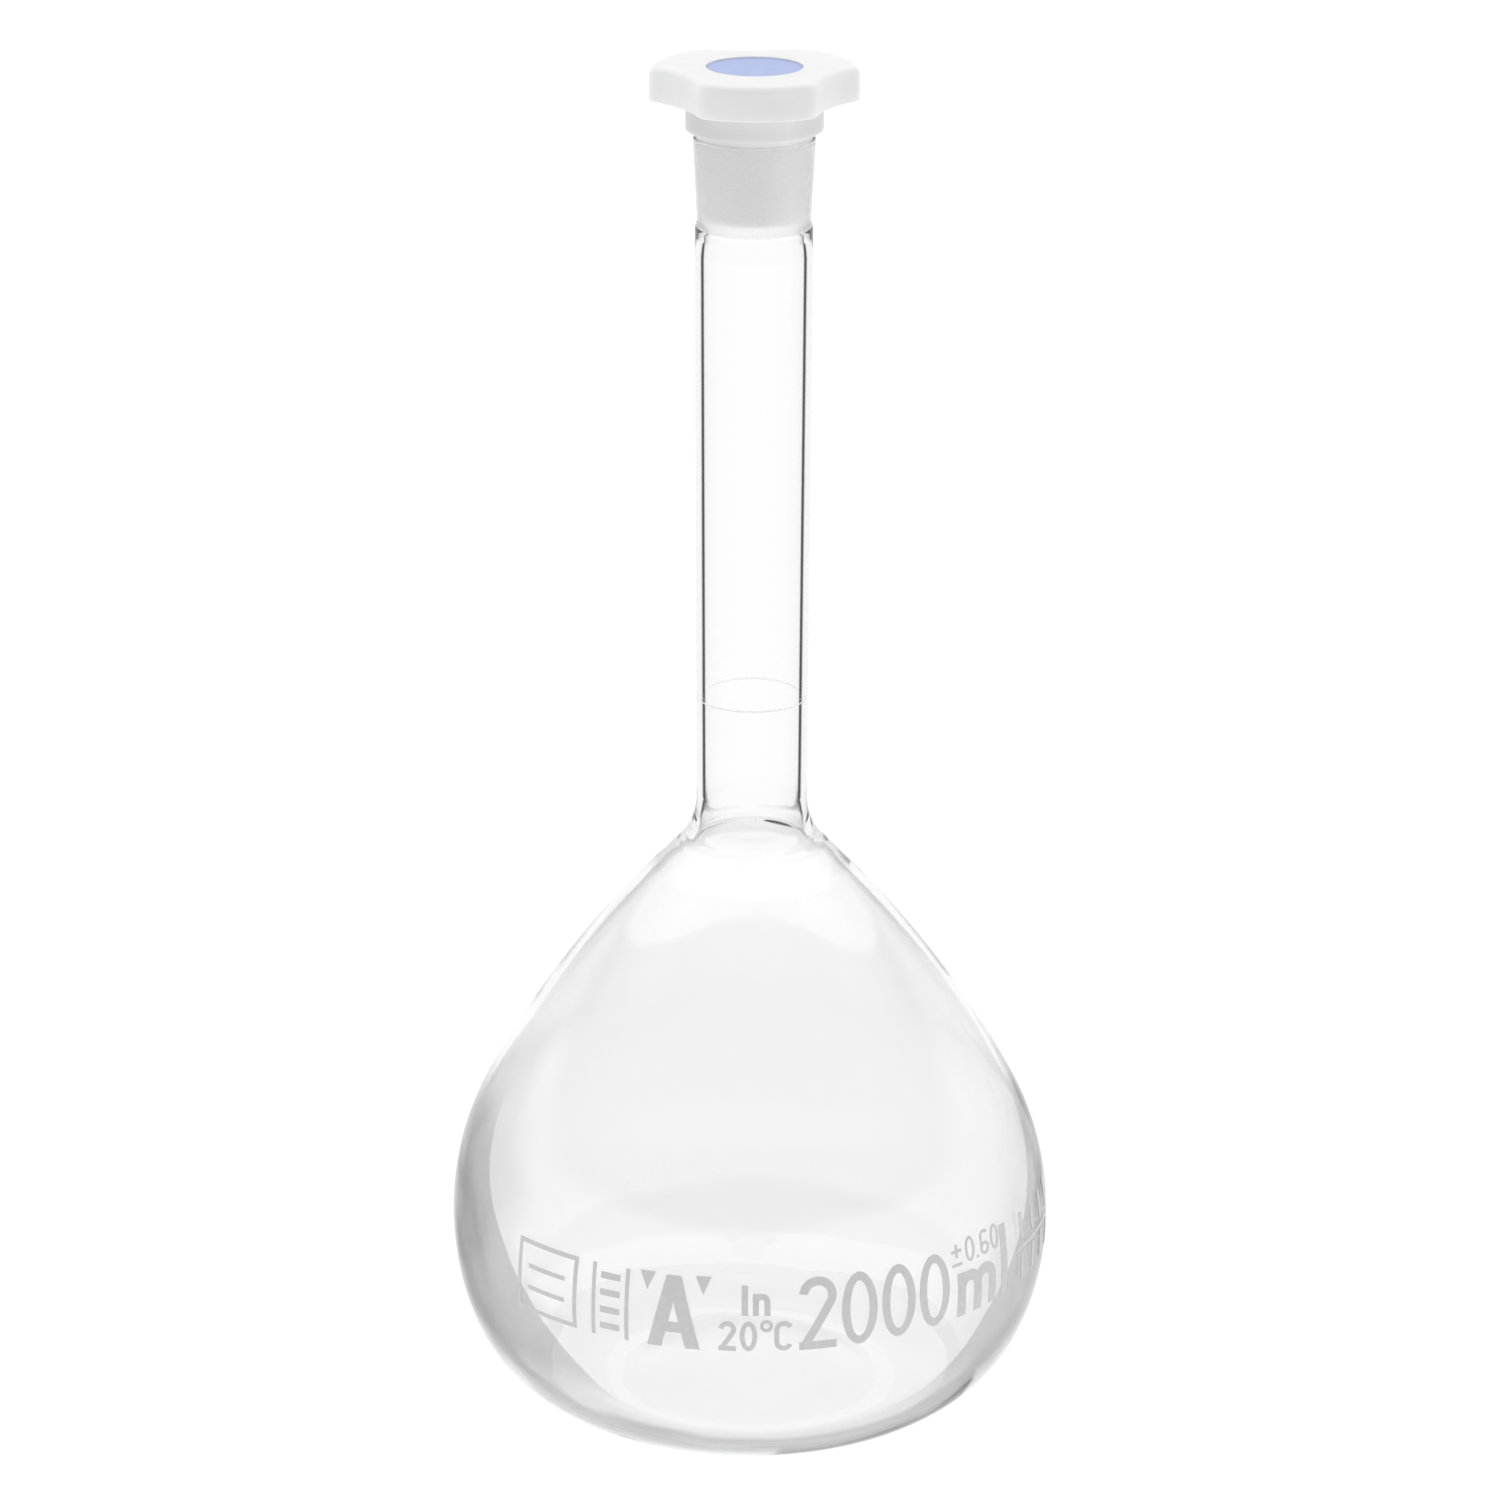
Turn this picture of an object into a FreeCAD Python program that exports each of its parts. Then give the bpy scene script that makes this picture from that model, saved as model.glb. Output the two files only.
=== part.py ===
import FreeCAD, Part
import math
import os

# A 2000 ml one-mark volumetric flask with a plastic finger-grip stopper.
# Origin: centre of the base, on the plane the flask stands on. +Z runs up the neck.
# The printed marks face -Y. All lengths are in millimetres, all angles in degrees.

# Glass outline, outside, walked from the contact ring up to the neck
contact_radius = 40.2        # where the flat contact ring turns into the heel
contact_ring_width = 5.0
punt_rise = 3.0              # how far the middle of the base is pushed up
heel_radius = 38.6
heel_turn = 69.4
belly_radius = 75.4
belly_turn = 48.4
shoulder_radius = 292.0
shoulder_turn = 17.0
throat_radius = 20.0         # concave sweep from the shoulder into the neck
glass_wall = 2.03            # bulb and neck; the inside then holds 2000 ml up to the ring

# Neck and ground joint
neck_radius_low = 14.65      # outside, where the throat ends
neck_radius_high = 15.25     # outside, just below the joint
shoulder_weld_height = 160.0
joint_weld_height = 319.0
waist_height = 325.4         # lower end of the ground zone
waist_run = 3.6              # height over which the neck closes in to the waist
rim_height = 349.0
joint_wall = 1.15
taper = 0.05                 # change of radius per length of a 1:10 taper
bore_radius_at_rim = 14.6
rim_round = 0.4

# Graduation ring
ring_height = 198.9
ring_width = 0.55
enamel_thickness = 0.12

# Stopper
seat_clearance = 0.05        # between the plug and the ground bore, all round
plug_length = 20.8           # below the rim
plug_wall = 1.5
plug_floor = 1.8
plug_tip_round = 0.6
collar_radius = 17.7
collar_underside_rise = 2.1  # conical underside, from the plug out to the collar
collar_gap = 0.4             # between the rim and the underside's inner edge
head_bottom = 358.6
head_top = 367.4
head_radius = 26.9
lobe_count = 3
lobe_twist = 2.0             # the grip is turned slightly about the axis
scallop_depth_radius = 21.8  # from the axis to the deepest point of a scallop
scallop_radius = 34.0
lobe_corner_round = 4.0
head_top_round = 2.0
head_bottom_round = 0.5

# Coloured disc in the top of the stopper
disc_radius = 12.35
disc_thickness = 1.4
disc_recess = 0.35           # how far its face lies below the top of the head
disc_fit = 0.05
disc_edge_round = 0.25
well_radius = 10.6

# Printed marks, in one band round the bulb. Azimuths are from -Y towards +X.
mark_low = 45.8
mark_high = 65.8
mark_height = mark_high - mark_low
numeral_width = 10.0
numeral_stroke = 2.3
numeral_pitch = 8.05         # degrees from one numeral to the next
first_numeral_azimuth = 12.7
side_azimuth = 64.0
side_pitch = 5.6

os.makedirs("parts", exist_ok=True)

axis_origin = FreeCAD.Vector(0, 0, 0)
axis_up = FreeCAD.Vector(0, 0, 1)
# Profiles are drawn behind the axis, so that every revolved seam is at the back.


def at(radius, height):
    return FreeCAD.Vector(0, radius, height)


def save(name, shape):
    shape.exportStep("parts/" + name + ".step")


def revolve(edges):
    face = Part.Face(Part.Wire(edges))
    return face.revolve(axis_origin, axis_up, 360)


def line(start, end):
    return Part.LineSegment(start, end).toShape()


def polyline(points):
    return [line(points[i], points[i + 1]) for i in range(len(points) - 1)]


class OutlineWalk:
    """A profile drawn by walking: straight runs and arcs tangent to each other."""

    def __init__(self, radius, height, heading):
        self.radius = radius
        self.height = height
        self.heading = math.radians(heading)
        self.edges = []

    def point(self):
        return at(self.radius, self.height)

    def forward(self, length):
        start = self.point()
        self.radius += length * math.cos(self.heading)
        self.height += length * math.sin(self.heading)
        self.edges.append(line(start, self.point()))

    def turn(self, arc_radius, degrees):
        """Positive degrees turn towards the axis, negative ones away from it."""
        side = math.copysign(1.0, degrees)
        centre_radius = self.radius - side * arc_radius * math.sin(self.heading)
        centre_height = self.height + side * arc_radius * math.cos(self.heading)
        stops = [self.point()]
        for share in (0.5, 1.0):
            heading = self.heading + share * math.radians(degrees)
            stops.append(at(centre_radius + side * arc_radius * math.sin(heading),
                            centre_height - side * arc_radius * math.cos(heading)))
        self.edges.append(Part.Arc(*stops).toShape())
        self.radius = stops[2].y
        self.height = stops[2].z
        self.heading += math.radians(degrees)


def bulb_walk(offset):
    """The bulb's outline, moved into the glass by offset (outwards if negative)."""
    walk = OutlineWalk(contact_radius, offset, 0.0)
    walk.turn(heel_radius - offset, heel_turn)
    walk.turn(belly_radius - offset, belly_turn)
    walk.turn(shoulder_radius - offset, shoulder_turn)
    return walk


def throat_walk(offset):
    """The bulb's outline carried on through the throat to the start of the neck."""
    walk = bulb_walk(offset)
    slope = walk.heading
    throat_start = neck_radius_low + throat_radius * (1 - math.sin(slope))
    outside = bulb_walk(0.0)
    walk.forward((outside.radius - throat_start) / -math.cos(slope))
    walk.turn(throat_radius + offset, 90.0 - math.degrees(slope))
    return walk


neck_start_height = throat_walk(0.0).height
waist_start_height = waist_height - waist_run


def neck_radius(height):
    """Outside radius of the slightly tapered neck."""
    share = (height - neck_start_height) / (waist_start_height - neck_start_height)
    return neck_radius_low + share * (neck_radius_high - neck_radius_low)


def bore_radius(height):
    """Inside radius of the ground joint."""
    return bore_radius_at_rim - taper * (rim_height - height)


def wave(start, end):
    """An upright S from one neck diameter to another: two equal arcs that meet halfway."""
    middle = (start + end) * 0.5
    half_angle = math.atan2(abs(end.y - start.y), end.z - start.z)
    arc_radius = (middle.z - start.z) / math.sin(2 * half_angle)
    side = math.copysign(arc_radius * (1 - math.cos(half_angle)), end.y - start.y)
    climb = arc_radius * math.sin(half_angle)
    lower = at(start.y + side, start.z + climb)
    upper = at(end.y - side, end.z - climb)
    return [Part.Arc(start, lower, middle).toShape(), Part.Arc(middle, upper, end).toShape()]


def glass_body():
    """The whole flask in one piece, before it is parted at its two welds."""
    outside = throat_walk(0.0)
    neck_top = at(neck_radius_high, waist_start_height)
    waist = at(bore_radius(waist_height) + joint_wall, waist_height)
    rim_outer_low = at(bore_radius_at_rim + joint_wall, rim_height - rim_round)
    rim_outer_top = at(bore_radius_at_rim + joint_wall - rim_round, rim_height)
    rim_inner_top = at(bore_radius_at_rim + rim_round, rim_height)
    rim_inner_low = at(bore_radius(rim_height - rim_round), rim_height - rim_round)
    bore_end = at(bore_radius(waist_height), waist_height)
    inner_neck_top = at(neck_radius_high - glass_wall, waist_start_height)

    inside = throat_walk(glass_wall)
    ring_inner = contact_radius - contact_ring_width
    punt_low = at(ring_inner, 0.0)
    punt_top = at(0.0, punt_rise)
    floor_low = at(ring_inner, glass_wall)
    floor_top = at(0.0, punt_rise + glass_wall)

    edges = [line(punt_low, at(contact_radius, 0.0))] + outside.edges
    edges.append(line(outside.point(), neck_top))
    edges += wave(neck_top, waist)
    edges += polyline([waist, rim_outer_low, rim_outer_top, rim_inner_top, rim_inner_low,
                       bore_end, inner_neck_top, inside.point()])
    edges += inside.edges
    edges.append(line(at(contact_radius, glass_wall), floor_low))
    edges.append(punt_arc(floor_low, floor_top))
    edges.append(line(floor_top, punt_top))
    edges.append(punt_arc(punt_low, punt_top))
    return revolve(Part.__sortEdges__(edges))


def punt_arc(edge_point, crown_point):
    """The dished middle of the base: an arc that is level at the axis."""
    span = edge_point.y
    rise = crown_point.z - edge_point.z
    dish_radius = (span * span + rise * rise) / (2 * rise)
    half_span = span / 2
    sag = dish_radius - math.sqrt(dish_radius * dish_radius - half_span * half_span)
    return Part.Arc(edge_point, at(half_span, crown_point.z - sag), crown_point).toShape()


def slab(low, high):
    """Everything between two heights: a box wider than the bulb."""
    size = 4 * belly_radius
    corner = FreeCAD.Vector(-size / 2, -size / 2, low)
    return Part.makeBox(size, size, high - low, corner)


def make_glass():
    whole = glass_body()
    margin = 1.0
    save("bulb", whole.common(slab(-margin, shoulder_weld_height)))
    save("neck_tube", whole.common(slab(shoulder_weld_height, joint_weld_height)))
    save("ground_socket", whole.common(slab(joint_weld_height, rim_height + margin)))


def make_graduation_ring():
    low = ring_height - ring_width / 2
    high = ring_height + ring_width / 2
    corners = [at(neck_radius(low), low), at(neck_radius(low) + enamel_thickness, low),
               at(neck_radius(high) + enamel_thickness, high), at(neck_radius(high), high)]
    corners.append(corners[0])
    save("graduation_ring", revolve(polyline(corners)))


# Stopper

underside_inner_height = rim_height + collar_gap
underside_outer_height = underside_inner_height + collar_underside_rise
plug_tip_height = rim_height - plug_length
disc_face_height = head_top - disc_recess
disc_seat_height = disc_face_height - disc_thickness
seat_radius = disc_radius + disc_fit
edge_tolerance = 0.01        # for finding the edges that lie at one height


def plug_radius(height):
    return bore_radius(height) - seat_clearance


def grip_head():
    """The three-lobed head: a round slab with a shallow scallop between the lobes."""
    slab_height = head_top - head_bottom
    half_pitch = 180.0 / lobe_count
    head = Part.makeCylinder(head_radius, slab_height, FreeCAD.Vector(0, 0, head_bottom))
    head.rotate(axis_origin, axis_up, lobe_twist + half_pitch - 90)    # its seam is cut away
    scallop_centre = scallop_depth_radius + scallop_radius
    for index in range(lobe_count):
        azimuth = math.radians(lobe_twist + half_pitch + 360.0 / lobe_count * index)
        centre = FreeCAD.Vector(scallop_centre * math.sin(azimuth),
                                -scallop_centre * math.cos(azimuth), head_bottom)
        head = head.cut(Part.makeCylinder(scallop_radius, slab_height, centre))
    corners = [edge for edge in head.Edges if isinstance(edge.Curve, Part.Line)]
    head = head.makeFillet(lobe_corner_round, corners)
    top = [edge for edge in head.Edges if edge.BoundBox.ZMin > head_top - edge_tolerance]
    head = head.makeFillet(head_top_round, top)
    bottom = [edge for edge in head.Edges if edge.BoundBox.ZMax < head_bottom + edge_tolerance]
    return head.makeFillet(head_bottom_round, bottom)


def make_stopper_body():
    plug_start = at(plug_radius(underside_inner_height), underside_inner_height)
    tip = plug_radius(plug_tip_height)
    shank = revolve(polyline([
        at(0, plug_tip_height),
        at(tip - plug_tip_round, plug_tip_height),
        at(tip, plug_tip_height + plug_tip_round),
        plug_start,
        at(collar_radius, underside_outer_height),
        at(collar_radius, head_bottom + head_bottom_round),
        at(0, head_bottom + head_bottom_round),
        at(0, plug_tip_height)]))
    well_floor = plug_tip_height + plug_floor
    hollow = revolve(polyline([
        at(0, well_floor),
        at(plug_radius(well_floor) - plug_wall, well_floor),
        at(plug_radius(rim_height) - plug_wall, rim_height),
        at(well_radius, underside_outer_height),
        at(well_radius, disc_seat_height),
        at(seat_radius, disc_seat_height),
        at(seat_radius, head_top + head_top_round),
        at(0, head_top + head_top_round),
        at(0, well_floor)]))
    save("stopper_body", grip_head().fuse(shank).removeSplitter().cut(hollow))


def make_stopper_disc():
    disc = Part.makeCylinder(disc_radius, disc_thickness, FreeCAD.Vector(0, 0, disc_seat_height))
    rim = [edge for edge in disc.Edges if edge.BoundBox.ZMin > disc_face_height - edge_tolerance]
    save("stopper_disc", disc.makeFillet(disc_edge_round, rim))


# Printed marks. A mark is a set of flat shapes: x to the right, z up, centred on x = 0.

def flat(x, z):
    return FreeCAD.Vector(x, 0, z)


def polygon(points):
    return Part.Face(Part.Wire(polyline(points + [points[0]])))


def bar(x_start, z_start, x_end, z_end, stroke):
    """A straight stroke with square ends."""
    length = math.hypot(x_end - x_start, z_end - z_start)
    across = flat(-(z_end - z_start), x_end - x_start) * (stroke / 2 / length)
    start = flat(x_start, z_start)
    end = flat(x_end, z_end)
    return polygon([start + across, end + across, end - across, start - across])


def oval(z, width, height):
    """A filled oval, taller than it is wide."""
    ellipse = Part.Ellipse(flat(0, z + height / 2), flat(width / 2, z), flat(0, z))
    return Part.Face(Part.Wire([ellipse.toShape()]))


def disc_face(x, z, radius):
    circle = Part.Circle(flat(x, z), FreeCAD.Vector(0, -1, 0), radius)
    return Part.Face(Part.Wire([circle.toShape()]))


def ring(x, z, radius, stroke):
    return disc_face(x, z, radius).cut(disc_face(x, z, radius - stroke))


def arch(x, z, radius, stroke, start, end):
    """Part of a round stroke. Angles are from +x, anticlockwise; radius is to its outside."""
    reach = 2 * radius
    steps = 6
    fan = [flat(x, z)]
    for step in range(steps + 1):
        angle = math.radians(start + (end - start) * step / steps)
        fan.append(flat(x + reach * math.cos(angle), z + reach * math.sin(angle)))
    return ring(x, z, radius, stroke).common(polygon(fan))


def glyph_zero(width, height, stroke):
    middle = height / 2
    return [oval(middle, width, height).cut(oval(middle, width - 2 * stroke, height - 2 * stroke))]


def glyph_two(width, height, stroke):
    bowl = width / 2
    bowl_height = height - bowl
    hook_end = 172
    leave = -38
    middle = bowl - stroke / 2
    knee_x = middle * math.cos(math.radians(leave))
    knee_z = bowl_height + middle * math.sin(math.radians(leave))
    overlap_x = stroke * 0.12
    overlap_z = stroke * 0.2
    foot_x = -bowl + stroke * 0.62
    return [arch(0, bowl_height, bowl, stroke, leave, hook_end),
            bar(knee_x + overlap_x, knee_z + overlap_z, foot_x, stroke / 2, stroke),
            bar(-bowl, stroke / 2, bowl, stroke / 2, stroke)]


def glyph_six(width, height, stroke):
    bowl = width / 2
    side = -bowl + stroke / 2
    hook_end = 35
    return [ring(0, bowl, bowl, stroke),
            bar(side, bowl, side, height - bowl, stroke),
            arch(0, height - bowl, bowl, stroke, hook_end, 180)]


def glyph_point(width, height, stroke):
    return [bar(-stroke / 2, stroke / 2, stroke / 2, stroke / 2, stroke)]


def glyph_plus_minus(width, height, stroke):
    half = width / 2
    cross = height * 0.6
    return [bar(-half, stroke / 2, half, stroke / 2, stroke),
            bar(-half, cross, half, cross, stroke),
            bar(0, cross - half, 0, cross + half, stroke)]


def glyph_stem(width, height, stroke):
    return [bar(0, 0, 0, height, stroke)]


def glyph_arches(width, height, stroke, count):
    """The letters n (count 1) and m (count 2): a stem and one or two arches."""
    span = (width - stroke) / count
    radius = (span + stroke) / 2
    left = -width / 2 + stroke / 2
    shapes = [bar(left, 0, left, height, stroke)]
    for index in range(count):
        middle = left + span * (index + 0.5)
        right = middle + span / 2
        shapes.append(arch(middle, height - radius, radius, stroke, 0, 180))
        shapes.append(bar(right, 0, right, height - radius, stroke))
    return shapes


def glyph_n(width, height, stroke):
    return glyph_arches(width, height, stroke, 1)


def glyph_m(width, height, stroke):
    return glyph_arches(width, height, stroke, 2)


def glyph_degree(width, height, stroke):
    return [ring(0, height - width / 2, width / 2, stroke)]


def glyph_c(width, height, stroke):
    bowl = width / 2
    side = -bowl + stroke / 2
    opening = 25
    return [arch(0, height - bowl, bowl, stroke, opening, 180),
            bar(side, bowl, side, height - bowl, stroke),
            arch(0, bowl, bowl, stroke, 180, 360 - opening)]


def glyph_a(width, height, stroke):
    half = width / 2
    half_top = stroke * 0.55
    outline = polygon([flat(-half, 0), flat(-half_top, height), flat(half_top, height),
                       flat(half, 0)])
    slope = (half - half_top) / height
    bar_low = height * 0.22
    bar_high = bar_low + stroke * 0.8
    foot = half - stroke * 1.05
    foot_top = foot - slope * bar_low
    between_feet = polygon([flat(-foot, 0), flat(-foot_top, bar_low), flat(foot_top, bar_low),
                            flat(foot, 0)])
    counter = foot - slope * bar_high
    above_bar = polygon([flat(-counter, bar_high), flat(0, bar_high + counter / slope),
                         flat(counter, bar_high)])
    return [outline.cut(between_feet).cut(above_bar)]


def glyph_wedge(width, height, stroke):
    """A small filled triangle that points down."""
    return [polygon([flat(-width / 2, height), flat(0, 0), flat(width / 2, height)])]


def glyph_frame(width, height, stroke):
    """An empty panel with two plain rules in it."""
    half = width / 2 - stroke / 2
    shapes = [bar(-half, 0, -half, height, stroke), bar(half, 0, half, height, stroke)]
    for z in (stroke / 2, height - stroke / 2):
        shapes.append(bar(-half, z, half, z, stroke))
    rule_half = half * 0.65
    for share in (0.35, 0.65):
        shapes.append(bar(-rule_half, height * share, rule_half, height * share, stroke))
    return shapes


def glyph_ladder(width, height, stroke):
    """Two upright rules with four short dashes between them."""
    half = width / 2 - stroke / 2
    shapes = [bar(-half, 0, -half, height, stroke), bar(half, 0, half, height, stroke)]
    dash_half = half * 0.58
    dash_stroke = stroke * 1.6
    for share in (0.15, 0.38, 0.62, 0.85):
        shapes.append(bar(-dash_half, height * share, dash_half, height * share, dash_stroke))
    return shapes


def glyph_dash(width, height, stroke):
    return [bar(-width / 2, 0, width / 2, 0, stroke)]


def enamel_skin():
    """A thin skin on the outside of the bulb, from which the marks are cut."""
    inner = bulb_walk(0.0)
    outer = bulb_walk(-enamel_thickness)
    edges = inner.edges + outer.edges
    edges.append(line(at(contact_radius, 0.0), at(contact_radius, -enamel_thickness)))
    edges.append(line(inner.point(), outer.point()))
    margin = mark_height / 4
    return revolve(Part.__sortEdges__(edges)).common(slab(mark_low - margin, mark_high + margin))


def printed(skin, glyph, azimuth, low, width, height, stroke):
    """A glyph wrapped on the bulb at an azimuth, measured from -Y towards +X."""
    near = belly_radius / 2
    far = 2 * belly_radius
    solids = []
    for shape in glyph(width, height, stroke):
        shape.translate(FreeCAD.Vector(0, -near, low))
        solids.append(shape.extrude(FreeCAD.Vector(0, near - far, 0)))
    block = solids[0]
    if len(solids) > 1:
        block = block.multiFuse(solids[1:]).removeSplitter()
    block.rotate(axis_origin, axis_up, azimuth)
    return block.common(skin)


def make_marks():
    skin = enamel_skin()
    for name, glyphs in mark_layout().items():
        solids = []
        for glyph in glyphs:
            solids += printed(skin, *glyph).Solids
        save(name, Part.Compound(solids))


def mark_layout():
    """Each mark's glyphs: shape, azimuth, height of its foot, width, height and stroke."""
    numerals = [(glyph, first_numeral_azimuth + numeral_pitch * place, mark_low,
                 numeral_width, mark_height, numeral_stroke)
                for place, glyph in enumerate([glyph_two, glyph_zero, glyph_zero, glyph_zero])]
    small = (60.4, 3.6, 6.8, 0.8)
    lower = (46.0, 4.6, 8.4, 1.3)
    side_bars = [(glyph_stem, side_azimuth + side_pitch * place, low, 0, 7.6, 1.6)
                 for place in range(4) for low in (46.4, 57.6)]
    return {
        "capacity_numerals": numerals,
        "capacity_unit": [(glyph_m, 48.0, mark_low, 15.6, 12.4, 3.0),
                          (glyph_stem, 56.5, mark_low, 0, mark_height, 2.9)],
        "tolerance_mark": [(glyph_plus_minus, 42.6, *small), (glyph_zero, 46.2, *small),
                           (glyph_point, 48.3, *small), (glyph_six, 50.5, *small),
                           (glyph_zero, 53.7, *small)],
        "class_mark": [(glyph_a, -14.2, mark_low, 14.2, mark_height, 3.7),
                       (glyph_wedge, -19.3, 61.2, 4.2, 5.0, 0),
                       (glyph_wedge, -8.6, 61.2, 4.2, 5.0, 0)],
        "temperature_mark": [(glyph_stem, -0.9, 56.0, 0, 8.2, 1.7),
                             (glyph_n, 2.2, 56.0, 4.6, 6.0, 1.6),
                             (glyph_two, -4.1, *lower), (glyph_zero, -0.2, *lower),
                             (glyph_degree, 3.1, 46.0, 3.4, 8.8, 0.9),
                             (glyph_c, 6.3, 46.0, 5.0, 8.4, 1.3)],
        "label_panel": [(glyph_frame, -41.5, mark_low, 21.0, mark_height, 1.2)],
        "rule_block": [(glyph_ladder, -26.8, mark_low, 10.9, mark_height, 1.1)],
        "side_block": side_bars + [(glyph_dash, 71.5, 55.6, 28.0, 0, 0.9)],
    }


make_glass()
make_graduation_ring()
make_stopper_body()
make_stopper_disc()
make_marks()
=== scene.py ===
import math

import bpy
from mathutils import Matrix, Vector, noise


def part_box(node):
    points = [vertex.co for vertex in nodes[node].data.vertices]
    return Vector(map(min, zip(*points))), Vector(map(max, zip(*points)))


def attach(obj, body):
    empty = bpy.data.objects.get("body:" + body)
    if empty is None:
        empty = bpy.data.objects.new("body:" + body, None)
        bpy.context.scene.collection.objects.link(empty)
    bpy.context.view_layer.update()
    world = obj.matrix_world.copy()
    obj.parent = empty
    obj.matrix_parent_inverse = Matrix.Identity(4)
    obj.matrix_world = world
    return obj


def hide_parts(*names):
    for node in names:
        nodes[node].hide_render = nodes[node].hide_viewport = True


# A 2000 ml volumetric flask on a light table. Metres throughout; +Z up, printed face towards -Y.
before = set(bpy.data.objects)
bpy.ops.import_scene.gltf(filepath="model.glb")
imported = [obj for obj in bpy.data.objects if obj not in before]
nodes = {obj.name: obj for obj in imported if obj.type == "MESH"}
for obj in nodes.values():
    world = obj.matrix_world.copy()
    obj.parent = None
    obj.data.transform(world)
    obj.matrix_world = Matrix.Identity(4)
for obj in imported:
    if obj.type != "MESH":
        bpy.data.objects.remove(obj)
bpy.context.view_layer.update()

MM = 0.001

# Driving sizes, read from the frame
RIM_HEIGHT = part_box("ground_socket")[1].z
RIM_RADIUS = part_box("ground_socket")[1].x
SHOULDER_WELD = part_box("bulb")[1].z
BULB_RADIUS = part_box("bulb")[1].x

# The glass outline. It follows the part, but for a waist that is shorter and WAIST_LIFT higher
CONTACT_RADIUS = 40.2 * MM
CONTACT_WIDTH = 5.0 * MM
PUNT_RISE = 3.0 * MM
HEEL = (38.6 * MM, 69.4)        # each arc: radius, degrees of turn
BELLY = (75.4 * MM, 48.4)
SHOULDER = (292.0 * MM, 17.0)
THROAT_RADIUS = 20.0 * MM
WALL = 2.03 * MM
NECK_LOW = 14.65 * MM
NECK_HIGH = 15.25 * MM
WAIST_HEIGHT = 325.4 * MM
WAIST_RUN = 2.8 * MM
WAIST_LIFT = 2.6 * MM
JOINT_WALL = 1.15 * MM
BORE_AT_RIM = RIM_RADIUS - JOINT_WALL
TAPER = 0.05
RIM_ROUND = 0.4 * MM

# Light, by direction: z is the sine of the height above the horizon
SKYLINE_FULL = 0.2
SKYLINE_GONE = 0.34
SKYLINE_LEVEL = 1.02
ROOM_LEVEL = 0.15
LIGHT_DIRECTION = (0.0, 0.49, 0.87)
LIGHT_EDGE = 0.56
LIGHT_SOFTNESS = 0.012
LIGHT_LEVEL = 1.35
GLOW_REACH = 0.7
GLOW_LEVEL = 0.6

CAMERA_LENS = 128.34
CAMERA_PLACE = (-0.0005, -1.3436, 0.6472)
CAMERA_DOWN = 19.05     # degrees below level
CAMERA_LEAN = 0.23      # degrees of roll

TABLE_HALF = 30.0
TABLE_GREY = 0.15
TABLE_GLOW = 0.9

LIGHT_BOUNCES = 24

SEGMENTS = 256
ARC_STEP = 2.2          # degrees of turn per outline point, at most
SPAN = 2.5 * MM         # length per outline point, at most
NECK_SPAN = 4.0 * MM
THROAT_SPAN = 0.4 * MM
JOINT_SPAN = 1.5 * MM
BASE_SPAN = 1.0 * MM
WAIST_TOP_SPAN = 0.5 * MM
BASE_STEPS = 12
WAIST_STEPS = 10
RIM_STEPS = 6

# Hand-blown glass: waves outside and inside, and a bead of extra glass where the neck is fused on
OUTSIDE_WAVE = 0.04 * MM
RIPPLE = 0.035 * MM
SHOULDER_CALM = 0.75    # how much less the shoulder waves than the belly
CALM_FROM = 85 * MM
CALM_RUN = 15 * MM
INSIDE_WAVE = 0.22 * MM
WELD_BEAD = 160.5 * MM
BEAD = 0.55 * MM
NECKING_HEIGHT = 159.3 * MM
WELD_NECKING = 0.12 * MM
LIP_HEIGHT = 156.8 * MM
WELD_LIP = 0.08 * MM
WELD_STREAK = 0.1 * MM
STREAKS_FROM = 148 * MM
STREAKS_TO = 163 * MM
STREAK_WAVELENGTH = 1.5 * MM

# The noises behind them: wavelength, seed
OUTSIDE_NOISE = (24 * MM, 3.7)
RIPPLE_NOISE = (10 * MM, 4.4)
WELD_NOISE = (9 * MM, 8.2)
INSIDE_NOISE = (34 * MM, 1.3)
INSIDE_FINE_NOISE = (13 * MM, 5.9)
BEAD_NOISE = (12 * MM, 6.4)
BEAD_DRIFT_NOISE = (14 * MM, 2.2)
OUTSIDE_STREAK_SEED = 2.9
INSIDE_STREAK_SEED = 7.3

# Where the glass's painted edge shade changes with height, from the first height to the second
PALE_EDGE_ABOVE = (78 * MM, 100 * MM)
PALE_ABOVE = (100 * MM, 128 * MM)
NECK_ABOVE = (161 * MM, 167 * MM)
WELD_LOW = (150 * MM, 152.5 * MM)
WELD_HIGH = (164 * MM, 162 * MM)
OUTER_HEEL = (34 * MM, 20 * MM)
INNER_HEEL = (38 * MM, 22 * MM)

# The joint's own glass begins at the first of these heights, and the base's ends at the second
JOINT_LOW = 322 * MM
BASE_TOP = 5.5 * MM

# Painted shade on the bulb: it is greyed as if seen more edge on low down, and less high up and towards +X,
# which makes it darker low down and lighter high up and towards +X
LOW_SHADE = 0.235
LOW_SHADE_TOP = 100 * MM
LOW_SHADE_FULL = 35 * MM
HIGH_SHADE = -0.12
SIDE_SHADE = 0.085


# Camera

def make_camera():
    data = bpy.data.cameras.new("camera")
    data.sensor_width = 36.0
    data.lens = CAMERA_LENS
    data.clip_start = 0.05
    data.clip_end = 200.0
    camera = bpy.data.objects.new("camera", data)
    bpy.context.scene.collection.objects.link(camera)
    camera.location = CAMERA_PLACE
    tilt = Matrix.Rotation(math.radians(90.0 - CAMERA_DOWN), 4, "X")
    lean = Matrix.Rotation(math.radians(CAMERA_LEAN), 4, "Z")
    camera.rotation_euler = (tilt @ lean).to_euler()
    bpy.context.scene.camera = camera


# Outline tools

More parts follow.
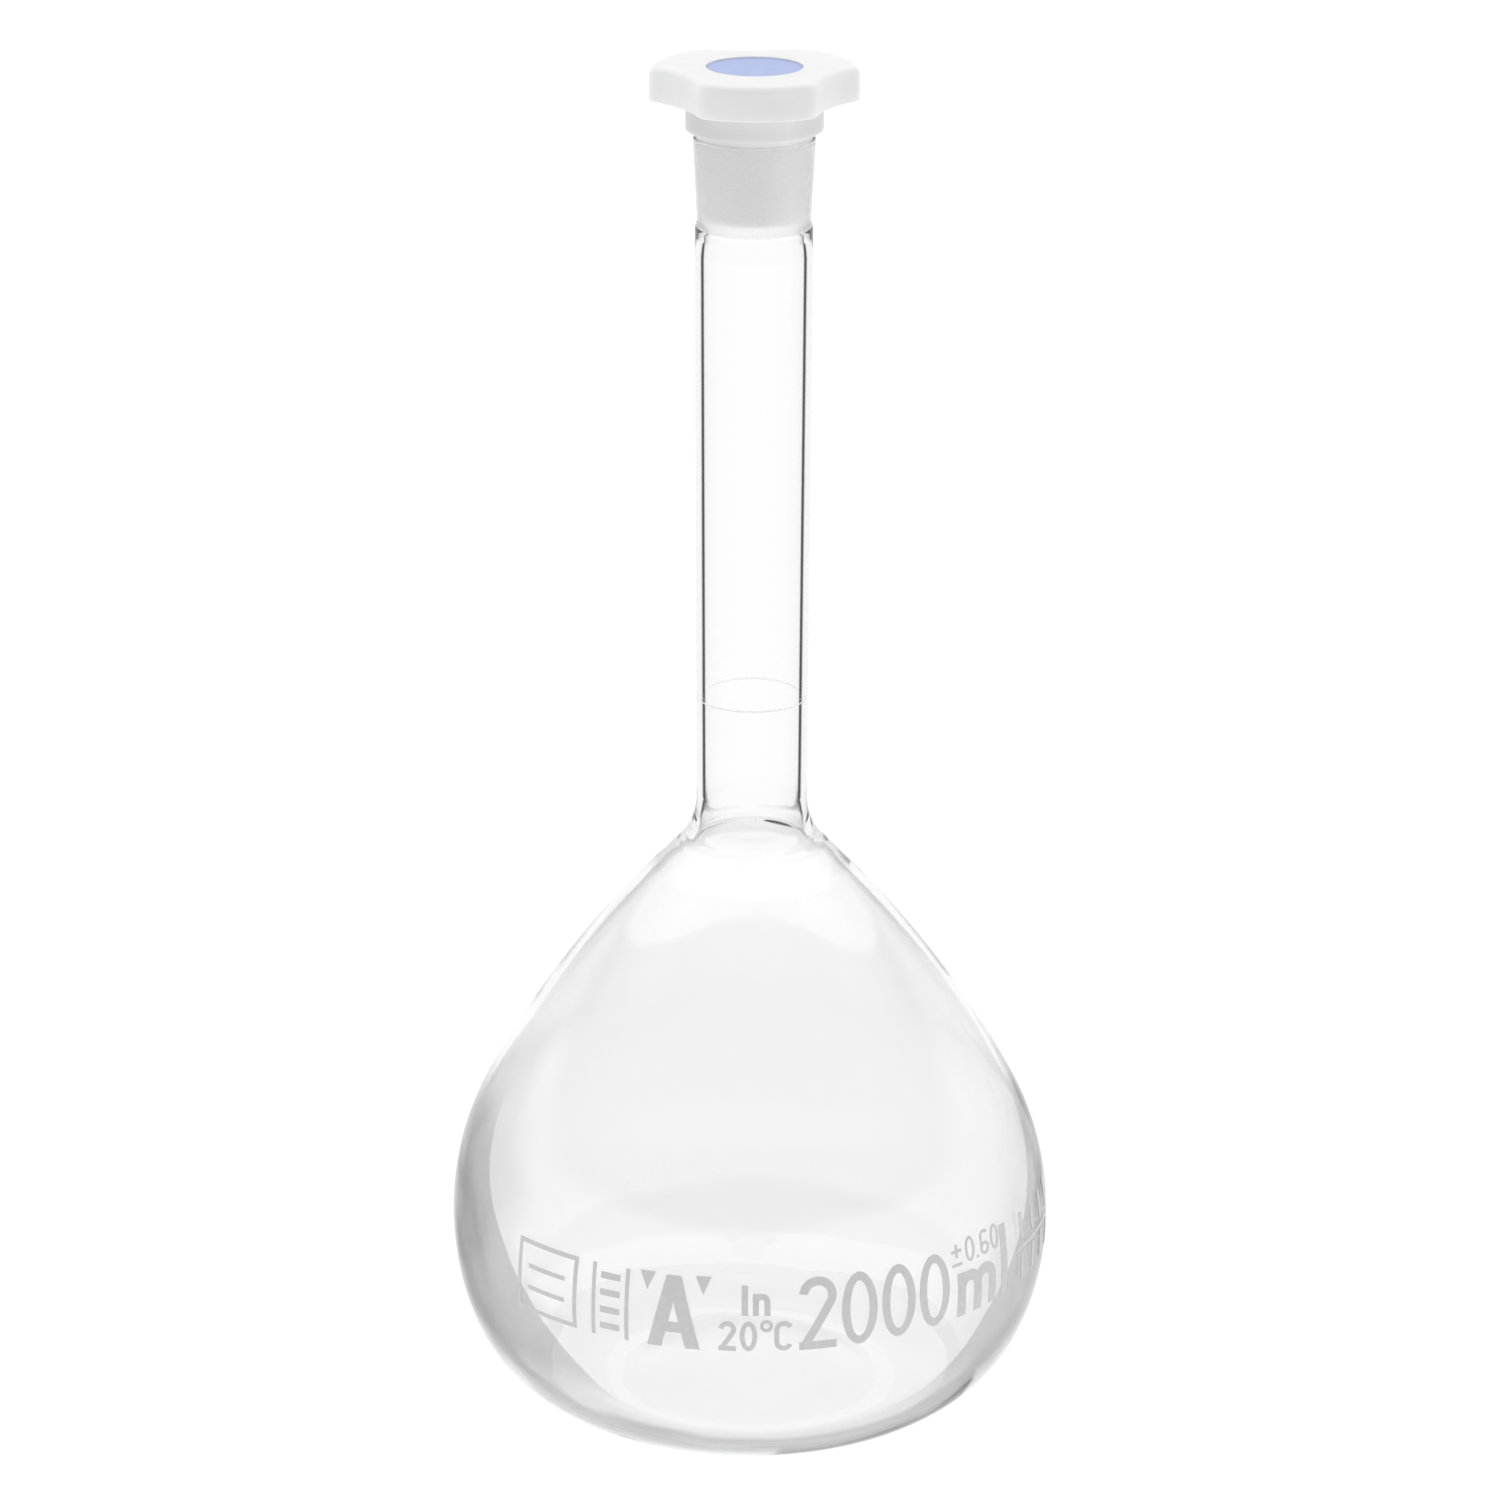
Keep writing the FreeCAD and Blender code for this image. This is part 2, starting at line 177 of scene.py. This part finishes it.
class Walk:
    """An outline as points (radius, height), walked with runs and tangent arcs."""

    def __init__(self, radius, height):
        self.points = [(radius, height)]
        self.heading = 0.0

    def forward(self, length, steps=1):
        radius, height = self.points[-1]
        for step in range(1, steps + 1):
            share = length * step / steps
            self.points.append((radius + share * math.cos(self.heading),
                                height + share * math.sin(self.heading)))

    def turn(self, arc_radius, degrees, span=SPAN):
        radius, height = self.points[-1]
        side = math.copysign(1.0, degrees)
        centre = (radius - side * arc_radius * math.sin(self.heading),
                  height + side * arc_radius * math.cos(self.heading))
        length = arc_radius * math.radians(abs(degrees))
        steps = math.ceil(max(abs(degrees) / ARC_STEP, length / span))
        start = self.heading
        for step in range(1, steps + 1):
            heading = start + math.radians(degrees) * step / steps
            self.points.append((centre[0] + side * arc_radius * math.sin(heading),
                                centre[1] - side * arc_radius * math.cos(heading)))
        self.heading = start + math.radians(degrees)


def throat_points(offset):
    """Base to neck, at a depth of offset in the glass."""
    walk = Walk(CONTACT_RADIUS, offset)
    for radius, degrees in (HEEL, BELLY, SHOULDER):
        walk.turn(radius - offset, degrees)
    slope = walk.heading
    outer_radius = walk.points[-1][0] + offset * math.sin(slope)
    throat_start = NECK_LOW + THROAT_RADIUS * (1 - math.sin(slope))
    run = (outer_radius - throat_start) / -math.cos(slope)
    walk.forward(run, math.ceil(run / SPAN))
    walk.turn(THROAT_RADIUS + offset, 90.0 - math.degrees(slope), THROAT_SPAN)
    return walk.points


def straight(start, end, step):
    """Points from start to end, start left out, at most step apart."""
    length = math.dist(start, end)
    count = max(1, math.ceil(length / step))
    return [(start[0] + (end[0] - start[0]) * i / count,
             start[1] + (end[1] - start[1]) * i / count) for i in range(1, count + 1)]


def smooth(share):
    """From 0 to 1, level at both ends."""
    share = min(1.0, max(0.0, share))
    return share * share * (3.0 - 2.0 * share)


def bore_radius(height):
    return BORE_AT_RIM - TAPER * (RIM_HEIGHT - height)


def dished(rise, edge_height):
    """The base from the contact ring in to the axis."""
    start = CONTACT_RADIUS - CONTACT_WIDTH
    points = []
    for i in range(BASE_STEPS + 1):
        radius = start * (1.0 - i / BASE_STEPS)
        points.append((radius, edge_height + rise * (1.0 - (radius / start) ** 2)))
    return points


def outer_outline():
    """From the axis round the outside to the rim."""
    points = list(reversed(dished(PUNT_RISE, 0.0)))
    points += straight(points[-1], (CONTACT_RADIUS, 0.0), BASE_SPAN)
    points += throat_points(0.0)[1:]
    waist_end = WAIST_HEIGHT + WAIST_LIFT
    waist_start = waist_end - WAIST_RUN
    points += straight(points[-1], (NECK_HIGH, waist_start), NECK_SPAN)
    waist = bore_radius(waist_end) + JOINT_WALL
    for i in range(1, WAIST_STEPS + 1):
        share = i / WAIST_STEPS
        points.append((NECK_HIGH + (waist - NECK_HIGH) * smooth(share),
                       waist_start + WAIST_RUN * share))
    rim_edge = (RIM_RADIUS, RIM_HEIGHT - RIM_ROUND)
    points += straight(points[-1], rim_edge, JOINT_SPAN)
    return points


def rim_outline():
    """Over the lip, from the outside to the bore."""
    points = []
    for centre, start, end in (((RIM_RADIUS - RIM_ROUND, RIM_HEIGHT - RIM_ROUND), 0, 90),
                               ((BORE_AT_RIM + RIM_ROUND, RIM_HEIGHT - RIM_ROUND), 90, 180)):
        for i in range(1, RIM_STEPS + 1):
            angle = math.radians(start + (end - start) * i / RIM_STEPS)
            points.append((centre[0] + RIM_ROUND * math.cos(angle),
                           centre[1] + RIM_ROUND * math.sin(angle)))
    return points


def ground_outline(start):
    """Down the ground bore."""
    return straight(start, (bore_radius(WAIST_HEIGHT), WAIST_HEIGHT), JOINT_SPAN)


def inner_outline(start):
    """From the end of the ground bore down the neck, round the bulb and in to the axis."""
    top = (NECK_HIGH - WALL, WAIST_HEIGHT - WAIST_RUN)
    lower = list(reversed(throat_points(WALL)))
    points = straight(start, top, WAIST_TOP_SPAN)
    points += straight(top, lower[0], NECK_SPAN)
    points += lower[1:]
    points += straight(points[-1], (CONTACT_RADIUS - CONTACT_WIDTH, WALL), BASE_SPAN)
    points += dished(PUNT_RISE, WALL)[1:]
    return points


def bell(distance, reach):
    """1 at no distance, falling away to 0 past reach."""
    return math.exp(-(distance / reach) ** 2)


def ripple(x, y, z, wavelength, seed):
    """Smooth seeded noise, mostly between -1 and 1."""
    return 2.0 * noise.noise(Vector((x, y, z)) / wavelength + Vector((seed, seed, seed)))


def weld_streaks(x, y, z, seed):
    """Fine lines drawn round the weld as the glassblower turns it: the noise is stretched sideways."""
    weld = smooth((z - STREAKS_FROM) / (4 * MM)) * smooth((STREAKS_TO - z) / (3 * MM))
    return weld * WELD_STREAK * ripple(0.12 * x, 0.12 * y, z, STREAK_WAVELENGTH, seed)


def calm(z):
    """How much of the blown waviness is left at a height: the shoulder is drawn smoother than the belly."""
    return 1.0 - SHOULDER_CALM * smooth((z - CALM_FROM) / CALM_RUN)


def outside_relief(x, y, z):
    """How far hand blowing and the weld push the outside in (negative) or out."""
    blown = smooth((z - 6 * MM) / (20 * MM)) * smooth((SHOULDER_WELD - z) / (10 * MM))
    waving = calm(z)
    push = blown * OUTSIDE_WAVE * (waving * ripple(x, y, z, *OUTSIDE_NOISE) - 1.5)
    push += blown * waving * RIPPLE * ripple(x, y, z, *RIPPLE_NOISE)
    uneven = 1.0 + 0.5 * ripple(x, y, z, *WELD_NOISE)
    push -= WELD_NECKING * uneven * bell(z - NECKING_HEIGHT, 1.2 * MM)
    push += WELD_LIP * uneven * bell(z - LIP_HEIGHT, 1.0 * MM)
    return push + weld_streaks(x, y, z, OUTSIDE_STREAK_SEED)


def inside_relief(x, y, z):
    """How much thicker (positive) or thinner the wall is on the inside. The bead is thickest at +Y."""
    blown = smooth((z - 4 * MM) / (20 * MM)) * smooth((SHOULDER_WELD + 4 * MM - z) / (10 * MM))
    waves = ripple(x, y, z, *INSIDE_NOISE) + 0.25 * ripple(x, y, z, *INSIDE_FINE_NOISE)
    push = blown * calm(z) * INSIDE_WAVE * waves
    around = 1.0 + 0.45 * ripple(x, y, z, *BEAD_NOISE)
    around *= 0.25 + 0.75 * smooth(0.5 + 0.5 * y / max(math.hypot(x, y), MM))
    bead_height = WELD_BEAD + 1.0 * MM * ripple(x, y, 0.0, *BEAD_DRIFT_NOISE)
    push += BEAD * around * bell(z - bead_height, 2.8 * MM)
    return push + weld_streaks(x, y, z, INSIDE_STREAK_SEED)


def revolve(name, outline, slots, reliefs):
    """A turned mesh whose outline runs from axis to axis; each span has a slot and a relief."""
    vertices = []
    faces = []
    materials = []
    rings = []
    for index, (radius, height) in enumerate(outline):
        if radius < 1e-6:
            rings.append([len(vertices)])
            vertices.append((0.0, 0.0, height))
            continue
        before = outline[max(index - 1, 0)]
        after = outline[min(index + 1, len(outline) - 1)]
        run = Vector((after[1] - before[1], before[0] - after[0])).normalized()
        relief = reliefs[min(index, len(reliefs) - 1)]
        start = len(vertices)
        for i in range(SEGMENTS):
            angle = 2.0 * math.pi * i / SEGMENTS
            across, along = math.sin(angle), -math.cos(angle)
            push = relief(radius * across, radius * along, height) if relief else 0.0
            wide = radius + push * run.x
            vertices.append((wide * across, wide * along, height + push * run.y))
        rings.append(list(range(start, start + SEGMENTS)))
    for index in range(len(rings) - 1):
        low, high = rings[index], rings[index + 1]
        for i in range(SEGMENTS):
            j = (i + 1) % SEGMENTS
            if len(low) == 1:
                faces.append((low[0], high[j], high[i]))
            elif len(high) == 1:
                faces.append((low[i], low[j], high[0]))
            else:
                faces.append((low[i], low[j], high[j], high[i]))
            materials.append(slots[index])
    mesh = bpy.data.meshes.new(name)
    mesh.from_pydata(vertices, [], faces)
    mesh.polygons.foreach_set("material_index", materials)
    mesh.polygons.foreach_set("use_smooth", [True] * len(mesh.polygons))
    mesh.update()
    thing = bpy.data.objects.new(name, mesh)
    bpy.context.scene.collection.objects.link(thing)
    return thing


# Materials

# Painted shade and painted reflections on the glass: greys from face on (0) to edge on (1), where light
# goes in and, as EXIT, where it comes out.
# They stand in for the dark surroundings that clear glass gathers at its edges.
BULB_OUTER = ((0.0, 0.885), (0.25, 0.875), (0.37, 0.86), (0.47, 0.85), (0.555, 0.84),
              (0.563, 0.42), (0.68, 0.36), (0.8, 0.24), (0.9, 0.12), (1.0, 0.04))
BULB_INNER = ((0.0, 0.885), (0.25, 0.875), (0.37, 0.86), (0.5, 0.84), (0.62, 0.62),
              (0.68, 0.54), (0.8, 0.38), (0.9, 0.2), (1.0, 0.06))
SHOULDER_SHADE = ((0.0, 0.925), (0.25, 0.915), (0.5, 0.89), (0.8, 0.87), (0.94, 0.85), (1.0, 0.6))
# Painted dark lines: the narrow dark bands in BULB_EXIT, NECK_EXIT and HEEL_EXIT draw dark lines at set
# angles where the glass shows the dark room
BULB_EXIT = ((0.0, 1.0), (0.235, 0.98), (0.252, 0.25), (0.27, 0.45))
NECK_OUTER = ((0.0, 0.89), (0.2, 0.88), (0.4, 0.82), (0.8, 0.8), (0.94, 0.65), (1.0, 0.4))
NECK_INNER = ((0.0, 0.995), (0.5, 0.98), (0.72, 0.9), (0.8, 0.5), (0.87, 0.1), (1.0, 0.03))
NECK_EXIT = ((0.0, 1.0), (0.183, 0.98), (0.190, 0.0), (0.207, 0.0), (0.219, 0.9), (0.27, 0.9))
PLAIN_EXIT = ((0.0, 1.0),)
HEEL_EXIT = ((0.0, 1.0), (0.225, 1.0), (0.24, 0.45), (0.256, 0.45), (0.27, 0.95))
WELD_SHADE = ((0.0, 0.995), (0.3, 0.98), (0.45, 0.86), (0.65, 0.62), (0.85, 0.3), (1.0, 0.25))
JOINT_SHADE = ((0.0, 0.98), (0.5, 0.95), (0.72, 0.78), (1.0, 0.6))
OUTER_HEEL_SHADE = ((0.0, 0.9), (0.42, 0.87), (0.5, 0.68), (0.7, 0.55), (0.85, 0.7), (1.0, 0.95))
INNER_HEEL_SHADE = ((0.0, 0.9), (0.42, 0.87), (0.47, 0.72), (0.7, 0.7), (0.8, 0.8), (1.0, 0.9))

GLASS_IOR = 1.473
BASE_GREY = 0.9
GROUND_ROUGHNESS = 0.5
GROUND_GREY = 0.72
GROUND_RIM_GREY = 0.95

MARK_GREY = 0.66
RING_GREY = 0.95
RING_COVER = 0.4
DISC_BLUE = (0.32, 0.41, 0.74)

# The stopper's greys by height, with painted shade darkening the collar under the head, and shares of its
# height where they change
PLUG_GREY = 0.97
COLLAR_SHADE_GREY = 0.79
HEAD_WHITE = 0.86
COLLAR_FADE = 0.04
COLLAR_TOP = 0.765
HEAD_START = 0.80
# Plug and collar also change from -X to +X: painted shade towards -X and a painted highlight strip towards
# +X, standing in for uneven light
SIDE_LIGHT_GREYS = ((0.0, 0.87), (0.25, 0.92), (0.5, 0.97), (0.7, 1.0), (0.78, 1.03), (0.86, 0.98), (1.0, 0.92))
SIDE_LIGHT_END = (8 * MM, 9.5 * MM)     # above the rim

# Slots of the glass mesh
WALL_SLOT, GROUND_SLOT, INNER_SLOT, BASE_SLOT, JOINT_SLOT, RIM_SLOT = range(6)


def new_material(name):
    material = bpy.data.materials.new(name)
    material.use_nodes = True
    tree = material.node_tree
    shader = tree.nodes["Principled BSDF"]
    return material, tree, shader


def math_node(tree, operation, first, second):
    node = tree.nodes.new("ShaderNodeMath")
    node.operation = operation
    for index, value in enumerate((first, second)):
        if isinstance(value, float):
            node.inputs[index].default_value = value
        else:
            tree.links.new(value, node.inputs[index])
    return node.outputs[0]


def grey_ramp(tree, value, stops):
    ramp = tree.nodes.new("ShaderNodeValToRGB")
    tree.links.new(value, ramp.inputs["Fac"])
    elements = ramp.color_ramp.elements
    elements.remove(elements[1])
    for index, (position, grey) in enumerate(stops):
        element = elements[0] if index == 0 else elements.new(position)
        element.position = position
        element.color = (grey, grey, grey, 1.0)
    return ramp.outputs["Color"]


def mix_greys(tree, factor, first, second=None):
    """From first to second by factor; to white if there is no second."""
    mix = tree.nodes.new("ShaderNodeMix")
    mix.data_type = "RGBA"
    tree.links.new(factor, mix.inputs["Factor"])
    tree.links.new(first, mix.inputs["A"])
    if second is None:
        mix.inputs["B"].default_value = (1.0, 1.0, 1.0, 1.0)
    else:
        tree.links.new(second, mix.inputs["B"])
    return mix.outputs["Result"]


def facing_share(tree):
    """0 where the surface is seen face on, 1 where it is seen edge on."""
    weight = tree.nodes.new("ShaderNodeLayerWeight")
    weight.inputs["Blend"].default_value = 0.5
    return weight.outputs["Facing"]


def object_place(tree):
    """Where on the object a point is, as X, Y and Z."""
    place = tree.nodes.new("ShaderNodeSeparateXYZ")
    tree.links.new(tree.nodes.new("ShaderNodeTexCoord").outputs["Object"], place.inputs[0])
    return place.outputs


def paint_edge_shade(tree, shader, bulb_in, neck_in, heel_in, bulb_out, neck_out, heel):
    """Paints shade on the glass by how edge on it is seen: darker edges and dark lines that stand in for
    the dark surroundings, with other greys at each height, darker low down and lighter towards +X.
    """
    facing = facing_share(tree)
    place = object_place(tree)
    height = place["Z"]
    low_down = soft_step(tree, height, LOW_SHADE_TOP, LOW_SHADE_FULL)
    low_down = math_node(tree, "MULTIPLY", low_down, LOW_SHADE)
    low_down = math_node(tree, "ADD", low_down, HIGH_SHADE)
    aside = math_node(tree, "MULTIPLY", place["X"], -SIDE_SHADE / BULB_RADIUS)
    shifted = math_node(tree, "ADD", facing, math_node(tree, "ADD", low_down, aside))
    shoulder = soft_step(tree, height, *PALE_ABOVE)
    base = soft_step(tree, height, *heel)
    pale_edge = soft_step(tree, height, *PALE_EDGE_ABOVE)
    belly_in = grey_ramp(tree, shifted, bulb_in)
    shoulder_in = grey_ramp(tree, facing, SHOULDER_SHADE)
    going_in = mix_greys(tree, pale_edge, belly_in, shoulder_in)
    going_in = mix_greys(tree, shoulder, going_in, grey_ramp(tree, facing, neck_in))
    going_in = mix_greys(tree, base, going_in, grey_ramp(tree, facing, heel_in))
    above_weld = soft_step(tree, height, *WELD_LOW)
    weld = math_node(tree, "MULTIPLY", above_weld, soft_step(tree, height, *WELD_HIGH))
    going_in = mix_greys(tree, weld, going_in, grey_ramp(tree, facing, WELD_SHADE))
    plain = grey_ramp(tree, facing, PLAIN_EXIT)
    going_out = mix_greys(tree, pale_edge, grey_ramp(tree, facing, bulb_out), plain)
    going_out = mix_greys(tree, base, going_out, grey_ramp(tree, facing, HEEL_EXIT))
    neck = soft_step(tree, height, *NECK_ABOVE)
    going_out = mix_greys(tree, neck, going_out, grey_ramp(tree, facing, neck_out))
    inside = tree.nodes.new("ShaderNodeNewGeometry").outputs["Backfacing"]
    tree.links.new(mix_greys(tree, inside, going_in, going_out), shader.inputs["Base Color"])


def glass_material(name, roughness=0.0):
    """Glass without its colour or painted edge shade yet."""
    material, tree, shader = new_material(name)
    shader.inputs["Roughness"].default_value = roughness
    shader.inputs["IOR"].default_value = GLASS_IOR
    shader.inputs["Transmission Weight"].default_value = 1.0
    return material, tree, shader


def outer_glass():
    material, tree, shader = glass_material("glass_outer")
    # Painted edge shade and painted dark lines on the outside of the glass
    paint_edge_shade(tree, shader, BULB_OUTER, NECK_OUTER, OUTER_HEEL_SHADE, BULB_EXIT, NECK_EXIT, OUTER_HEEL)
    return material


def inner_glass():
    material, tree, shader = glass_material("glass_inner")
    # Painted edge shade on the inside of the glass
    paint_edge_shade(tree, shader, BULB_INNER, NECK_INNER, INNER_HEEL_SHADE, PLAIN_EXIT, PLAIN_EXIT, INNER_HEEL)
    return material


def base_glass():
    material, tree, shader = glass_material("glass_base")
    shader.inputs["Base Color"].default_value = (BASE_GREY, BASE_GREY, BASE_GREY, 1.0)
    return material


def joint_glass():
    material, tree, shader = glass_material("glass_joint")
    # Painted edge shade: the joint glass is darker where it is seen edge on.
    tree.links.new(grey_ramp(tree, facing_share(tree), JOINT_SHADE), shader.inputs["Base Color"])
    return material


def speckle(tree, scale, low, high):
    """Fine grain in object space, as a factor from low to high."""
    grain = tree.nodes.new("ShaderNodeTexNoise")
    grain.inputs["Scale"].default_value = scale
    grain.inputs["Detail"].default_value = 3.0
    tree.links.new(tree.nodes.new("ShaderNodeTexCoord").outputs["Object"], grain.inputs["Vector"])
    factor = tree.nodes.new("ShaderNodeMapRange")
    factor.inputs["From Min"].default_value = 0.3
    factor.inputs["From Max"].default_value = 0.7
    factor.inputs["To Min"].default_value = low
    factor.inputs["To Max"].default_value = high
    tree.links.new(grain.outputs["Fac"], factor.inputs["Value"])
    return factor.outputs["Result"]


def texture_surface(tree, shader, scale, depth):
    """A fine raised grain on the surface."""
    bump = tree.nodes.new("ShaderNodeBump")
    bump.inputs["Distance"].default_value = depth
    tree.links.new(speckle(tree, scale, 0.0, 1.0), bump.inputs["Height"])
    tree.links.new(bump.outputs["Normal"], shader.inputs["Normal"])


def scaled_colour(tree, factor, red, green, blue):
    scaled = tree.nodes.new("ShaderNodeVectorMath")
    scaled.operation = "SCALE"
    scaled.inputs[0].default_value = (red, green, blue)
    tree.links.new(factor, scaled.inputs["Scale"])
    return scaled.outputs["Vector"]


def ground_glass(name, grey):
    material, tree, shader = glass_material(name, GROUND_ROUGHNESS)
    tree.links.new(scaled_colour(tree, speckle(tree, 1800.0, 0.94, 1.06), grey, grey, grey),
                   shader.inputs["Base Color"])
    return material


def linear_share(tree, value, start, end):
    """From 0 at start to 1 at end, in a straight line."""
    share = tree.nodes.new("ShaderNodeMapRange")
    share.inputs["From Min"].default_value = start
    share.inputs["From Max"].default_value = end
    tree.links.new(value, share.inputs["Value"])
    return share.outputs["Result"]


def polyethylene():
    """Milky plastic, with greys by height, painted shade on the collar under the head and, below the head,
    painted shade and a painted highlight from side to side.
    """
    material, tree, shader = new_material("natural_polyethylene")
    place = object_place(tree)
    low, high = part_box("stopper_body")[0].z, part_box("stopper_body")[1].z
    rim = (RIM_HEIGHT - low) / (high - low)
    stops = ((0.0, PLUG_GREY), (rim - COLLAR_FADE, PLUG_GREY), (rim, COLLAR_SHADE_GREY),
             (COLLAR_TOP, COLLAR_SHADE_GREY), (HEAD_START, HEAD_WHITE))
    by_height = grey_ramp(tree, linear_share(tree, place["Z"], low, high), stops)
    by_side = grey_ramp(tree, linear_share(tree, place["X"], -RIM_RADIUS, RIM_RADIUS), SIDE_LIGHT_GREYS)
    head_low, head_high = SIDE_LIGHT_END
    head = soft_step(tree, place["Z"], RIM_HEIGHT + head_low, RIM_HEIGHT + head_high)
    shaded = tree.nodes.new("ShaderNodeVectorMath")
    shaded.operation = "MULTIPLY"
    tree.links.new(by_height, shaded.inputs[0])
    tree.links.new(mix_greys(tree, head, by_side), shaded.inputs[1])
    grained = tree.nodes.new("ShaderNodeVectorMath")
    grained.operation = "SCALE"
    tree.links.new(shaded.outputs["Vector"], grained.inputs[0])
    tree.links.new(speckle(tree, 160.0, 0.985, 1.015), grained.inputs["Scale"])
    tree.links.new(grained.outputs["Vector"], shader.inputs["Base Color"])
    texture_surface(tree, shader, 2400.0, 0.01 * MM)
    shader.inputs["Roughness"].default_value = 0.42
    shader.inputs["IOR"].default_value = 1.5
    shader.inputs["Subsurface Weight"].default_value = 0.7
    shader.inputs["Subsurface Radius"].default_value = (1.0, 1.0, 1.0)
    shader.inputs["Subsurface Scale"].default_value = 0.002
    return material


def blue_plastic():
    material, tree, shader = new_material("blue_insert")
    tree.links.new(scaled_colour(tree, speckle(tree, 300.0, 0.97, 1.03), *DISC_BLUE),
                   shader.inputs["Base Color"])
    shader.inputs["Roughness"].default_value = 0.35
    texture_surface(tree, shader, 1500.0, 0.01 * MM)
    return material


def enamel(name, grey):
    """Fired enamel: slightly uneven cover and a fine grain."""
    material, tree, shader = new_material(name)
    tree.links.new(scaled_colour(tree, speckle(tree, 700.0, 0.96, 1.04), grey, grey, grey),
                   shader.inputs["Base Color"])
    shader.inputs["Roughness"].default_value = 0.55
    texture_surface(tree, shader, 3000.0, 0.01 * MM)
    return material


def paint(node, material):
    thing = nodes[node]
    thing.data.materials.clear()
    thing.data.materials.append(material)


# The scene

def make_glass():
    """One turned mesh for the whole glass. It casts no shadow, so that the table under it stays white."""
    outer = outer_outline()
    rim = rim_outline()
    ground = ground_outline(rim[-1])
    inner = inner_outline(ground[-1])
    outline = outer + rim + ground + inner
    slots = [WALL_SLOT] * (len(outer) - 1) + [RIM_SLOT] * len(rim)
    slots += [GROUND_SLOT] * len(ground) + [INNER_SLOT] * len(inner)
    for index, (radius, height) in enumerate(outline[:len(slots)]):
        if height < BASE_TOP:
            slots[index] = BASE_SLOT
        elif height > JOINT_LOW and slots[index] in (WALL_SLOT, INNER_SLOT):
            slots[index] = JOINT_SLOT
    reliefs = [outside_relief] * len(outer) + [None] * (len(rim) + len(ground))
    reliefs += [inside_relief] * len(inner)
    glass = revolve("flask_glass", outline, slots, reliefs)
    glass.data.materials.append(outer_glass())
    glass.data.materials.append(ground_glass("ground_joint", GROUND_GREY))
    glass.data.materials.append(inner_glass())
    glass.data.materials.append(base_glass())
    glass.data.materials.append(joint_glass())
    glass.data.materials.append(ground_glass("ground_rim", GROUND_RIM_GREY))
    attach(glass, "flask")
    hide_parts("bulb", "neck_tube", "ground_socket")
    glass.visible_shadow = False


def make_stage():
    """A light table: a plain floor that glows."""
    half = TABLE_HALF
    mesh = bpy.data.meshes.new("light_table")
    mesh.from_pydata([(-half, -half, 0), (half, -half, 0), (half, half, 0), (-half, half, 0)],
                     [], [(0, 1, 2, 3)])
    table = bpy.data.objects.new("light_table", mesh)
    bpy.context.scene.collection.objects.link(table)
    material, tree, shader = new_material("light_table")
    shader.inputs["Base Color"].default_value = (TABLE_GREY, TABLE_GREY, TABLE_GREY, 1.0)
    shader.inputs["Roughness"].default_value = 1.0
    shader.inputs["Specular IOR Level"].default_value = 0.0
    shader.inputs["Emission Color"].default_value = (1.0, 1.0, 1.0, 1.0)
    shader.inputs["Emission Strength"].default_value = TABLE_GLOW
    mesh.materials.append(material)


def make_world():
    """A dark room with a white skyline all round and one broad soft light overhead."""
    world = bpy.data.worlds.new("studio")
    bpy.context.scene.world = world
    world.use_nodes = True
    tree = world.node_tree
    background = tree.nodes["Background"]
    background.inputs["Color"].default_value = (1.0, 1.0, 1.0, 1.0)
    direction = tree.nodes.new("ShaderNodeTexCoord").outputs["Generated"]

    split = tree.nodes.new("ShaderNodeSeparateXYZ")
    tree.links.new(direction, split.inputs[0])
    skyline = soft_step(tree, split.outputs["Z"], SKYLINE_GONE, SKYLINE_FULL)

    towards_light = tree.nodes.new("ShaderNodeVectorMath")
    towards_light.operation = "DOT_PRODUCT"
    towards_light.inputs[1].default_value = LIGHT_DIRECTION
    tree.links.new(direction, towards_light.inputs[0])
    level = light_profile(tree, towards_light.outputs["Value"])
    mix = tree.nodes.new("ShaderNodeMix")
    mix.inputs["B"].default_value = SKYLINE_LEVEL
    tree.links.new(level, mix.inputs["A"])
    tree.links.new(skyline, mix.inputs["Factor"])
    tree.links.new(mix.outputs["Result"], background.inputs["Strength"])


def light_profile(tree, closeness):
    """The overhead light: level across its face, a soft edge, and a long falloff below it."""
    face = soft_step(tree, closeness, LIGHT_EDGE, LIGHT_EDGE + LIGHT_SOFTNESS)
    glow = soft_step(tree, closeness, LIGHT_EDGE - GLOW_REACH, LIGHT_EDGE)
    lit = math_node(tree, "MULTIPLY", face, LIGHT_LEVEL - GLOW_LEVEL)
    glowing = math_node(tree, "MULTIPLY", glow, GLOW_LEVEL - ROOM_LEVEL)
    return math_node(tree, "ADD", math_node(tree, "ADD", lit, glowing), ROOM_LEVEL)


def soft_step(tree, value, start, end):
    """From 0 at start to 1 at end, smoothly."""
    step = tree.nodes.new("ShaderNodeMapRange")
    step.interpolation_type = "SMOOTHSTEP"
    step.inputs["From Min"].default_value = start
    step.inputs["From Max"].default_value = end
    tree.links.new(value, step.inputs["Value"])
    return step.outputs["Result"]


def render_settings():
    scene = bpy.context.scene
    scene.view_settings.view_transform = "Standard"
    scene.cycles.max_bounces = LIGHT_BOUNCES
    scene.cycles.transmission_bounces = LIGHT_BOUNCES
    scene.cycles.glossy_bounces = 8
    scene.cycles.diffuse_bounces = 4


make_camera()
make_stage()
make_world()
render_settings()
make_glass()
mark_enamel = enamel("fired_enamel", MARK_GREY)
for mark in ("capacity_numerals", "capacity_unit", "tolerance_mark", "class_mark",
             "temperature_mark", "label_panel", "rule_block", "side_block"):
    paint(mark, mark_enamel)
ring_enamel = enamel("ring_enamel", RING_GREY)
ring_enamel.node_tree.nodes["Principled BSDF"].inputs["Alpha"].default_value = RING_COVER
paint("graduation_ring", ring_enamel)
paint("stopper_body", polyethylene())
paint("stopper_disc", blue_plastic())
